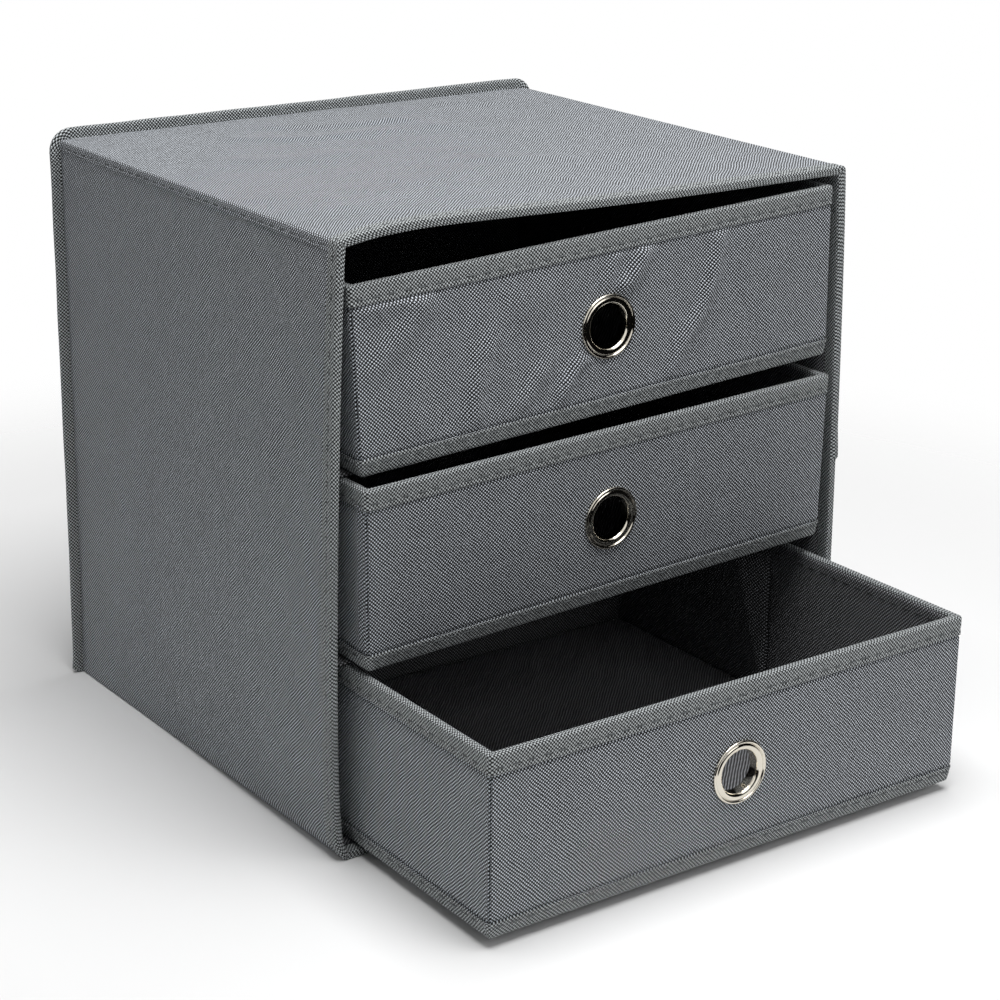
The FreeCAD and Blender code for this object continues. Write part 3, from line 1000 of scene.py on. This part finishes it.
def make_shelf(node):
    """A stiff shelf: board in black cloth, with a rounded front edge. It spans the walls."""
    low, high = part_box(node)
    half = 0.8 * MM
    front, back = low.y, high.y
    profile = arc((front + half, 0), half, 270, 90, 6)
    profile += straight((front + half, half), (back, half), 12 * MM)[1:] + [(back, half)]
    profile += straight((back, -half), (front + half, -half), 12 * MM)
    profile = np.array(profile)
    xs = np.linspace(low.x, high.x, 50)
    tilt = (high.z - low.z - 2 * half) / (high.x - low.x)
    middle = (low.z + high.z) / 2
    points = np.zeros((len(xs), len(profile), 3))
    points[:, :, 0] = xs[:, None]
    points[:, :, 1] = profile[:, 0][None]
    points[:, :, 2] = middle + profile[:, 1][None] + xs[:, None] * tilt
    points = shaped(points, bend_cabinet)
    run = run_lengths(profile, closed=True)
    uvs = np.stack(np.meshgrid(run, xs), -1)
    piece = grid(node + "_board", points, uvs, True, stuff("lining"))
    close_ends(piece)
    settle(piece, "cabinet", node)


def close_ends(piece):
    """Fills the open ends of a tube and makes its faces look outward."""
    work = bmesh.new()
    work.from_mesh(piece.data)
    bmesh.ops.holes_fill(work, edges=[e for e in work.edges if e.is_boundary], sides=0)
    bmesh.ops.recalc_face_normals(work, faces=work.faces)
    work.to_mesh(piece.data)
    work.free()


# ---- Drawers ---------------------------------------------------------------------------
def drawer_band(name, radius, step, section, form, material, thickness, relief=None,
                flip=False):
    """A band round a drawer's four walls; a section's height is its place up the wall."""
    def place(across, back, up):
        return np.stack([across, back, up], -1)

    return band(name, (DRAWER_W, DRAWER_D), radius, step, section, place, form, material,
                thickness, relief, flip)


def make_drawer(name):
    """Cloth, lining, tapes, floor and loose floor of one drawer."""
    sizes = bpy.context.scene.chest_sizes
    body = name + "_drawer"
    place = drawer_place(name)
    hole = Vector((EYELET_X, EYELET_Z))

    def cover_form(points):
        moved = crease_front(points, name)
        x, y = points[:, 0], points[:, 1]
        nearest = np.hypot(np.minimum(x, DRAWER_W - x), np.minimum(y, DRAWER_D - y))
        seam = (nearest < 0.415 * CORNER_R) * 1.5 * MM
        up = points[:, 2] / MM
        line = 0.75 * MM * np.exp(-((up - BASE_TAPE / MM - 0.7) / 0.7) ** 2)
        line += 0.6 * MM * np.exp(-((up - (DRAWER_H - RIM_TAPE) / MM + 0.8) / 0.8) ** 2)
        at_x = np.minimum(x, DRAWER_W - x) < MM
        at_y = np.minimum(y, DRAWER_D - y) < MM
        moved[:, 0] += np.maximum(seam, line * at_x) * np.sign(DRAWER_W / 2 - x)
        moved[:, 1] += np.maximum(seam, line * at_y) * np.sign(DRAWER_D / 2 - y)
        fold = (points[:, 0] < 2 * MM) & (name == "middle")
        pleat = 1.1 * bump_of(points[:, 1] / MM, 6, 4)
        moved[:, 0] -= fold * pleat * MM * smooth(10, 20, points[:, 2] / MM)
        return bend_drawer(moved)

    low, high = BASE_TAPE - 2 * MM, DRAWER_H - RIM_TAPE + 2 * MM
    fine, below_rim = BASE_TAPE + 3 * MM, DRAWER_H - RIM_TAPE - 3 * MM
    section = straight((0, low), (0, fine), 0.5 * MM)
    section += straight((0, fine), (0, below_rim), 2.2 * MM)
    section += straight((0, below_rim), (0, high), 0.5 * MM) + [(0, high)]
    cover = drawer_band(body + "_cover_cloth", CORNER_R, 2.2 * MM, section, cover_form,
                        stuff("body"), DRAWER_COVER)
    cut_round_hole(cover, hole, COVER_HOLE)
    settle(cover, body, body + "_cover", place)

    def lining_form(points):
        if name != "bottom":
            return bend_drawer(points)
        moved = puff_lining(points, DRAWER_W - DRAWER_WALL)
        return bend_drawer(puff_lining(moved, DRAWER_WALL))

    floor_top = 0.8 * MM
    high = DRAWER_H - 1.6 * MM
    section = straight((DRAWER_WALL, floor_top), (DRAWER_WALL, high), 2.4 * MM)
    section += [(DRAWER_WALL, high)]
    lining = drawer_band(body + "_lining_cloth", 0.8 * MM, MM, section, lining_form,
                         stuff("lining"), 0.0)
    cut_round_hole(lining, hole, LINING_HOLE)
    thicken(lining, LINING, 1)
    settle(lining, body, body + "_lining", place)

    out, turn = -0.5 * MM, 1.4 * MM
    low = DRAWER_H - RIM_TAPE
    inner = DRAWER_WALL - 1.2 * MM
    section = straight((out, low), (out, DRAWER_H - turn), 0.7 * MM)
    section += arc((out + turn, DRAWER_H - turn), turn, 180, 90, 4)
    section += straight((out + turn, DRAWER_H), (inner, DRAWER_H), 0.9 * MM)[1:]
    section += arc((inner, DRAWER_H - 1.1 * MM), 1.1 * MM, 90, 0, 3)
    section += [(inner + 1.1 * MM, DRAWER_H - 3 * MM)]
    rim = drawer_band(body + "_rim_binding", 1.8 * MM, 2.2 * MM, section, bend_drawer,
                      stuff("tape"), TAPE,
                      relief=seam_relief(2.8 * MM, sizes.stitch_pitch))
    settle(rim, body, body + "_rim_tape", place)

    turn, under = 2.6 * MM, 1.2 * MM
    section = straight((out, BASE_TAPE), (out, 0.85 * BASE_TAPE), 0.6 * MM)
    section += straight((out, 0.85 * BASE_TAPE), (out + under, turn), 0.6 * MM)
    section += arc((out + under + turn, turn), turn, 180, 270, 5)
    section += straight((out + under + turn, 0), (9 * MM, 0), 2 * MM)[1:] + [(9 * MM, 0)]
    base = drawer_band(body + "_base_binding", 2.4 * MM, 2.2 * MM, section, bend_drawer,
                       stuff("tape"), TAPE, flip=True,
                       relief=seam_relief(2.4 * MM, sizes.stitch_pitch * 0.6))
    settle(base, body, body + "_base_tape", place)

    make_drawer_floor(name, place)
    make_insert(name, place)


def flat_grid(x_span, y_span, step):
    """A level grid of points between two values each way."""
    nx = math.ceil((x_span[1] - x_span[0]) / step) + 1
    ny = math.ceil((y_span[1] - y_span[0]) / step) + 1
    return np.meshgrid(np.linspace(*x_span, nx), np.linspace(*y_span, ny))


def make_drawer_floor(name, place):
    """The cloth floor under the loose one, pulled flat."""
    body = name + "_drawer"
    inset = BASE_TAPE - 0.5 * MM
    gx, gy = flat_grid((inset, DRAWER_W - inset), (inset, DRAWER_D - inset), 12 * MM)
    points = np.stack([gx, gy, np.full_like(gx, 0.75 * MM)], -1)
    piece = grid(body + "_floor_cloth", points, np.stack([gx, gy], -1), False,
                 stuff("lining"), 0.7 * MM)
    settle(piece, body, body + "_floor", place)


def make_insert(name, place):
    """The loose floor: a board in a black sleeve, sewn flat along its edges."""
    body = name + "_drawer"
    low, high = 0.8 * MM, 4.1 * MM
    hem, hem_high = 4 * MM, 2.0 * MM
    inset = DRAWER_WALL + INSERT_GAP
    gx, gy = flat_grid((inset, DRAWER_W - inset), (inset, DRAWER_D - inset), 2.5 * MM)
    edge = np.minimum(np.minimum(gx - inset, DRAWER_W - inset - gx),
                      np.minimum(gy - inset, DRAWER_D - inset - gy))
    rise = smooth(hem * 0.7, hem * 1.2, edge)
    flat = np.stack([gx, gy, 0 * gx], -1).reshape(-1, 3)
    wave = 0.25 * MM * (1 + ripple(flat, 40 * MM, 13)).reshape(gx.shape)
    top = hem_high + (high - hem_high) * rise + wave * rise
    bottom = np.full_like(gx, low)
    uvs = np.stack([gx, gy], -1)
    upper = grid(body + "_insert_sleeve_cloth", np.stack([gx, gy, top], -1), uvs, False,
                 stuff("lining"))
    lower = grid("sleeve_under", np.stack([gx, gy, bottom], -1), uvs, False,
                 stuff("lining"), flip=True)
    work = bmesh.new()
    work.from_mesh(upper.data)
    work.from_mesh(lower.data)
    rim = [e for e in work.edges if e.is_boundary]
    bmesh.ops.bridge_loops(work, edges=rim)
    bmesh.ops.recalc_face_normals(work, faces=work.faces)
    work.to_mesh(upper.data)
    work.free()
    bpy.data.objects.remove(lower)
    settle(upper, body, body + "_insert_sleeve", place)


def eyelet_outline():
    """Half section of the eyelet: a flange with a rounded bead, dished to a rolled lip, and
    a barrel whose far end is rolled out over the washer."""
    back = -DRAWER_WALL
    barrel = BORE_R + BARREL_WALL
    bead, lip, curl = 0.8 * MM, 1.7 * MM, 0.55 * MM
    bead_at = EYELET_R - bead
    flange = 1.25 * MM
    outline = [(barrel, 0.0), (EYELET_R - 0.15 * MM, 0.0)]
    outline += arc((bead_at, 0.65 * MM), bead, -25, 165, 12)
    outline += [(bead_at - 0.95 * MM, 0.78 * MM), (bead_at - 1.15 * MM, 0.95 * MM),
                (bead_at - 1.4 * MM, 1.15 * MM), (bead_at - 1.7 * MM, flange)]
    outline += arc((BORE_R + lip, flange - lip), lip, 90, 180, 10)
    washer = back - 0.6 * MM
    outline += [(BORE_R, washer)]
    outline += arc((BORE_R + curl, washer), curl, 180, 270, 5)[1:]
    outline += arc((barrel + 1.0 * MM, washer), curl, 270, 360, 4)
    outline += [(barrel + 1.5 * MM, washer + 0.02 * MM), (barrel, washer + 0.02 * MM)]
    return outline


def make_eyelet(name):
    """The metal eyelet and the washer that its barrel is rolled over."""
    body = name + "_drawer"
    place = drawer_place(name)
    centre = (EYELET_X, 0.0, EYELET_Z)
    eyelet = turned(body + "_eyelet_turned", eyelet_outline(), centre, 96, stuff("nickel"))
    settle(eyelet, body, body + "_eyelet", place)
    washer = bent_copy(body + "_eyelet_washer", lambda p: turn_front(p, name),
                       stuff("nickel"), place)
    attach(washer, body)


# ---- Operators -------------------------------------------------------------------------
class CHEST_OT_boards(bpy.types.Operator):
    """Bends the boards with their walls and gives the flat ones their board"""
    bl_idname = "chest.boards"
    bl_label = "Boards"

    def execute(self, context):
        board = stuff("board")
        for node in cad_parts:
            if not node.endswith("_board"):
                continue
            name = node.split("_")[0]
            if "_drawer_" in node and node != "bottom_drawer_insert_board":
                wall = not node.endswith("insert_board")
                piece = bent_copy(node, lambda p: turn_front(
                    bend_drawer(trim_board(p) if wall else p), name), board,
                    drawer_place(name))
                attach(piece, name + "_drawer")
            elif node in ("top_board", "left_upper_board", "left_lower_board",
                          "right_upper_board", "right_lower_board"):
                piece = bent_copy(node, bend_cabinet, board)
                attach(piece, "cabinet")
            else:
                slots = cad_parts[node].data.materials
                slots.clear()
                slots.append(board)
        return {"FINISHED"}


class CHEST_OT_cabinet(bpy.types.Operator):
    """Makes the cabinet's outer cloth, lining and shelves"""
    bl_idname = "chest.cabinet"
    bl_label = "Cabinet cloth"

    def execute(self, context):
        make_wrap()
        make_top()
        make_back()
        make_lining()
        make_shelf("middle_shelf")
        make_shelf("top_shelf")
        return {"FINISHED"}


class CHEST_OT_bindings(bpy.types.Operator):
    """Makes the tape round the mouth and the bound seam round the back"""
    bl_idname = "chest.bindings"
    bl_label = "Cabinet bindings"

    def execute(self, context):
        make_mouth_tape()
        make_back_welt()
        return {"FINISHED"}


class CHEST_OT_drawers(bpy.types.Operator):
    """Makes the cloth, tapes and floors of the three drawers"""
    bl_idname = "chest.drawers"
    bl_label = "Drawers"

    def execute(self, context):
        for name in DRAWERS:
            make_drawer(name)
        return {"FINISHED"}


class CHEST_OT_eyelets(bpy.types.Operator):
    """Makes the metal finger pulls"""
    bl_idname = "chest.eyelets"
    bl_label = "Eyelets"

    def execute(self, context):
        for name in DRAWERS:
            make_eyelet(name)
        return {"FINISHED"}


def drawer_stitch_lines():
    """Where the thread of a drawer's tapes shows."""
    size = (DRAWER_W, DRAWER_D)
    lines = []
    for inset, height in ((-0.3 * MM, DRAWER_H - RIM_TAPE + RIM_SEAM),
                          (-0.3 * MM, BASE_TAPE - 2.4 * MM)):
        loop, ways = round_rectangle(size, inset, 1.8 * MM, 4 * MM)
        lines.append((bend_drawer(at_height(loop, height)), at_height(ways, 0.0)))
    return lines


def lining_stitch_lines():
    """Where the thread shows inside a drawer: below the rim and on the loose floor's hem."""
    size = (DRAWER_W, DRAWER_D)
    loop, ways = round_rectangle(size, DRAWER_WALL, 0.8 * MM, 4 * MM)
    points = at_height(loop, DRAWER_H - RIM_TAPE + RIM_SEAM)
    lines = [(bend_drawer(points), -at_height(ways, 0.0))]
    inset = DRAWER_WALL + INSERT_GAP + 2.4 * MM
    loop, _ = round_rectangle(size, inset, 0.5 * MM, 4 * MM)
    lines.append((at_height(loop, 2.1 * MM), np.tile([0.0, 0.0, 1.0], (len(loop), 1))))
    return lines


class CHEST_OT_stitching(bpy.types.Operator):
    """Sews the thread that shows along every seam"""
    bl_idname = "chest.stitching"
    bl_label = "Stitching"

    def execute(self, context):
        for seed, name in enumerate(DRAWERS):
            place = drawer_place(name)
            piece = stitches(name + "_drawer_stitching", drawer_stitch_lines(),
                             stuff("thread"), seed)
            settle(piece, name + "_drawer", place=place)
            piece = stitches(name + "_drawer_lining_stitching", lining_stitch_lines(),
                             stuff("black_thread"), seed + 3)
            settle(piece, name + "_drawer", place=place)
        sizes = context.scene.chest_sizes
        loop, ways = round_rectangle((2 * HALF_WIDTH, HEIGHT), -0.2 * MM, 2.2 * MM, 4 * MM)
        above = loop[:, 1] > 3 * MM
        loop, ways = loop[above], ways[above]
        points = np.stack([loop[:, 0] - HALF_WIDTH,
                           np.full(len(loop), TAPE_END_Y - 3.8 * MM), loop[:, 1]], -1)
        normals = np.stack([ways[:, 0], 0 * ways[:, 0], ways[:, 1]], -1)
        lines = [(bend_cabinet(points), normals)]
        for side in (-1, 1):
            ys = np.arange(TAPE_END_Y, BACK_Y - 4 * MM, 4 * MM)
            edge = np.stack([np.full(len(ys), side * HALF_WIDTH), ys,
                             np.full(len(ys), HEIGHT - sizes.edge_lip * LIP_SEAM)], -1)
            out = np.tile([side, 0.0, 0.0], (len(ys), 1))
            lines.append((bend_cabinet(edge), out))
        piece = stitches("cabinet_stitching", lines, stuff("thread"), 7)
        settle(piece, "cabinet")
        return {"FINISHED"}


# ---- Studio ----------------------------------------------------------------------------
CAMERA_PLACE = Vector((-0.7344, -1.0669, 0.5701))
CAMERA_AZIMUTH = -35.87
CAMERA_ELEVATION = 17.73
CAMERA_ROLL = 0.67
CAMERA_LENS = 89.14
SENSOR = 36.0
CAMERA_SHIFT = (0.0024, -0.07)


def studio_floor():
    """Matt painted studio floor, which keeps the chest's shadow. Seen from the camera it
    fades out a little way from the chest, where the white backdrop takes over."""
    c = bpy.context.scene.chest_colours
    m = new_material("Matt white studio paint")
    where = add(m, "ShaderNodeTexCoord")
    far = add(m, "ShaderNodeVectorMath", {0: where.outputs["Object"]}, operation="LENGTH")
    fade = add(m, "ShaderNodeMapRange", {"Value": far.outputs["Value"], "From Min": 0.3,
                                         "From Max": 0.72}, interpolation_type="SMOOTHSTEP")
    path = add(m, "ShaderNodeLightPath")
    gone = add(m, "ShaderNodeMath", {0: fade.outputs[0], 1: path.outputs["Is Camera Ray"]},
               operation="MULTIPLY")
    paint = add(m, "ShaderNodeBsdfDiffuse", {"Color": rgba(c.floor)})
    clear = add(m, "ShaderNodeBsdfTransparent")
    mixed = add(m, "ShaderNodeMixShader", {0: gone.outputs[0], 1: paint.outputs[0],
                                           2: clear.outputs[0]})
    return finish_material(m, mixed, "Shader")


def soft_world():
    """Even soft light, with a white backdrop for the camera and for reflections."""
    world = bpy.data.worlds.new("Studio light")
    bpy.context.scene.world = world
    world.use_nodes = True
    world.node_tree.nodes.clear()
    path = add(world, "ShaderNodeLightPath")
    first = add(world, "ShaderNodeMath", {0: path.outputs["Is Camera Ray"],
                                          1: path.outputs["Is Glossy Ray"]},
                operation="MAXIMUM")
    seen = add(world, "ShaderNodeMath", {0: first.outputs[0],
                                         1: path.outputs["Is Transmission Ray"]},
               operation="MAXIMUM")
    light = add(world, "ShaderNodeBackground", {"Color": (1, 1, 1, 1), "Strength": 0.14})
    white = add(world, "ShaderNodeBackground", {"Color": (1, 1, 1, 1), "Strength": 1.0})
    mixed = add(world, "ShaderNodeMixShader", {0: seen.outputs[0], 1: light.outputs[0],
                                               2: white.outputs[0]})
    out = add(world, "ShaderNodeOutputWorld")
    world.node_tree.links.new(mixed.outputs[0], out.inputs["Surface"])


def black_cards():
    """Matt black card round the set, low on the left and high on the right, and flat on
    the table in front. Only polished metal sees it, and takes its dark lines from it."""
    m = new_material("Matt black card")
    finish_material(m, add(m, "ShaderNodeBsdfDiffuse", {"Color": (0.004, 0.004, 0.004, 1)}))
    turns = np.linspace(0, 2 * math.pi, 73)
    tall = 0.45 + 1.3 * np.clip(np.cos(turns + math.radians(10)), 0, 1)
    wall = [[(1.6 * math.cos(a), 1.6 * math.sin(a), h) for a, h in zip(turns, tall)]]
    for radius in (1.6, 0.43):
        wall.append([(radius * math.cos(a), radius * math.sin(a), 0.0) for a in turns])
    points = np.array(wall)
    cards = grid("black_cards", points, points[:, :, :2], False, m)
    cards.visible_camera = cards.visible_diffuse = cards.visible_shadow = False


def area_lamp(name, place, aim, size, watts):
    """A square soft box that looks at a point."""
    lamp = bpy.data.lights.new(name, "AREA")
    lamp.size = size
    lamp.energy = watts
    holder = bpy.data.objects.new(name, lamp)
    holder.location = place
    holder.rotation_euler = (Vector(aim) - Vector(place)).to_track_quat("-Z", "Y").to_euler()
    bpy.context.scene.collection.objects.link(holder)


class CHEST_OT_stage(bpy.types.Operator):
    """Sets up the floor, the light and the camera"""
    bl_idname = "chest.stage"
    bl_label = "Studio"

    def execute(self, context):
        mesh = bpy.data.meshes.new("studio_floor")
        work = bmesh.new()
        bmesh.ops.create_circle(work, cap_ends=True, segments=64, radius=3.0)
        work.to_mesh(mesh)
        work.free()
        mesh.materials.append(studio_floor())
        floor = bpy.data.objects.new("studio_floor", mesh)
        floor.location.z = -0.2 * MM
        context.scene.collection.objects.link(floor)
        black_cards()
        soft_world()
        area_lamp("overhead", (0.0, -0.28, 1.45), (0.0, -0.05, 0.2), 1.0, 24)
        area_lamp("front", (0.3, -1.4, 0.85), (0.0, -0.15, 0.1), 0.8, 3.4)
        area_lamp("left", (-1.35, 0.75, 0.5), (-0.15, 0.0, 0.1), 0.8, 1.7)
        area_lamp("right", (1.4, 0.6, 0.6), (0.15, 0.0, 0.1), 0.9, 1.6)
        a, e, r = (math.radians(v) for v in (CAMERA_AZIMUTH, CAMERA_ELEVATION, CAMERA_ROLL))
        back = Vector((math.sin(a) * math.cos(e), -math.cos(a) * math.cos(e), math.sin(e)))
        level = Vector((math.cos(a), math.sin(a), 0))
        upright = back.cross(level)
        right = level * math.cos(r) + upright * math.sin(r)
        up = upright * math.cos(r) - level * math.sin(r)
        lens = bpy.data.cameras.new("camera")
        lens.lens = CAMERA_LENS
        lens.sensor_width = SENSOR
        lens.shift_x, lens.shift_y = CAMERA_SHIFT
        lens.clip_start, lens.clip_end = 0.05, 50
        camera = bpy.data.objects.new("camera", lens)
        camera.matrix_world = Matrix((
            (right.x, up.x, back.x, CAMERA_PLACE.x),
            (right.y, up.y, back.y, CAMERA_PLACE.y),
            (right.z, up.z, back.z, CAMERA_PLACE.z),
            (0, 0, 0, 1)))
        context.scene.collection.objects.link(camera)
        context.scene.camera = camera
        context.scene.view_settings.view_transform = "Standard"
        return {"FINISHED"}


class CHEST_PT_panel(bpy.types.Panel):
    """Lists the steps that dress the chest"""
    bl_label = "Fabric drawer chest"
    bl_idname = "CHEST_PT_panel"
    bl_space_type = "VIEW_3D"
    bl_region_type = "UI"
    bl_category = "Chest"

    def draw(self, context):
        for step in STEPS:
            self.layout.operator(step.bl_idname)
        for group in (context.scene.chest_sizes, context.scene.chest_colours):
            for name in group.__annotations__:
                self.layout.prop(group, name)


STEPS = (CHEST_OT_boards, CHEST_OT_cabinet, CHEST_OT_bindings, CHEST_OT_drawers,
         CHEST_OT_eyelets, CHEST_OT_stitching, CHEST_OT_stage)
CLASSES = (ChestSizes, ChestColours) + STEPS + (CHEST_PT_panel,)


def register():
    """Registers the properties, steps and panel."""
    for item in CLASSES:
        bpy.utils.register_class(item)
    bpy.types.Scene.chest_sizes = PointerProperty(type=ChestSizes)
    bpy.types.Scene.chest_colours = PointerProperty(type=ChestColours)


def unregister():
    """Takes them away again."""
    del bpy.types.Scene.chest_colours
    del bpy.types.Scene.chest_sizes
    for item in reversed(CLASSES):
        bpy.utils.unregister_class(item)


def main():
    """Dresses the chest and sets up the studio."""
    register()
    bpy.ops.chest.boards()
    bpy.ops.chest.cabinet()
    bpy.ops.chest.bindings()
    bpy.ops.chest.drawers()
    bpy.ops.chest.eyelets()
    bpy.ops.chest.stitching()
    bpy.ops.chest.stage()


if __name__ == "__main__":
    main()
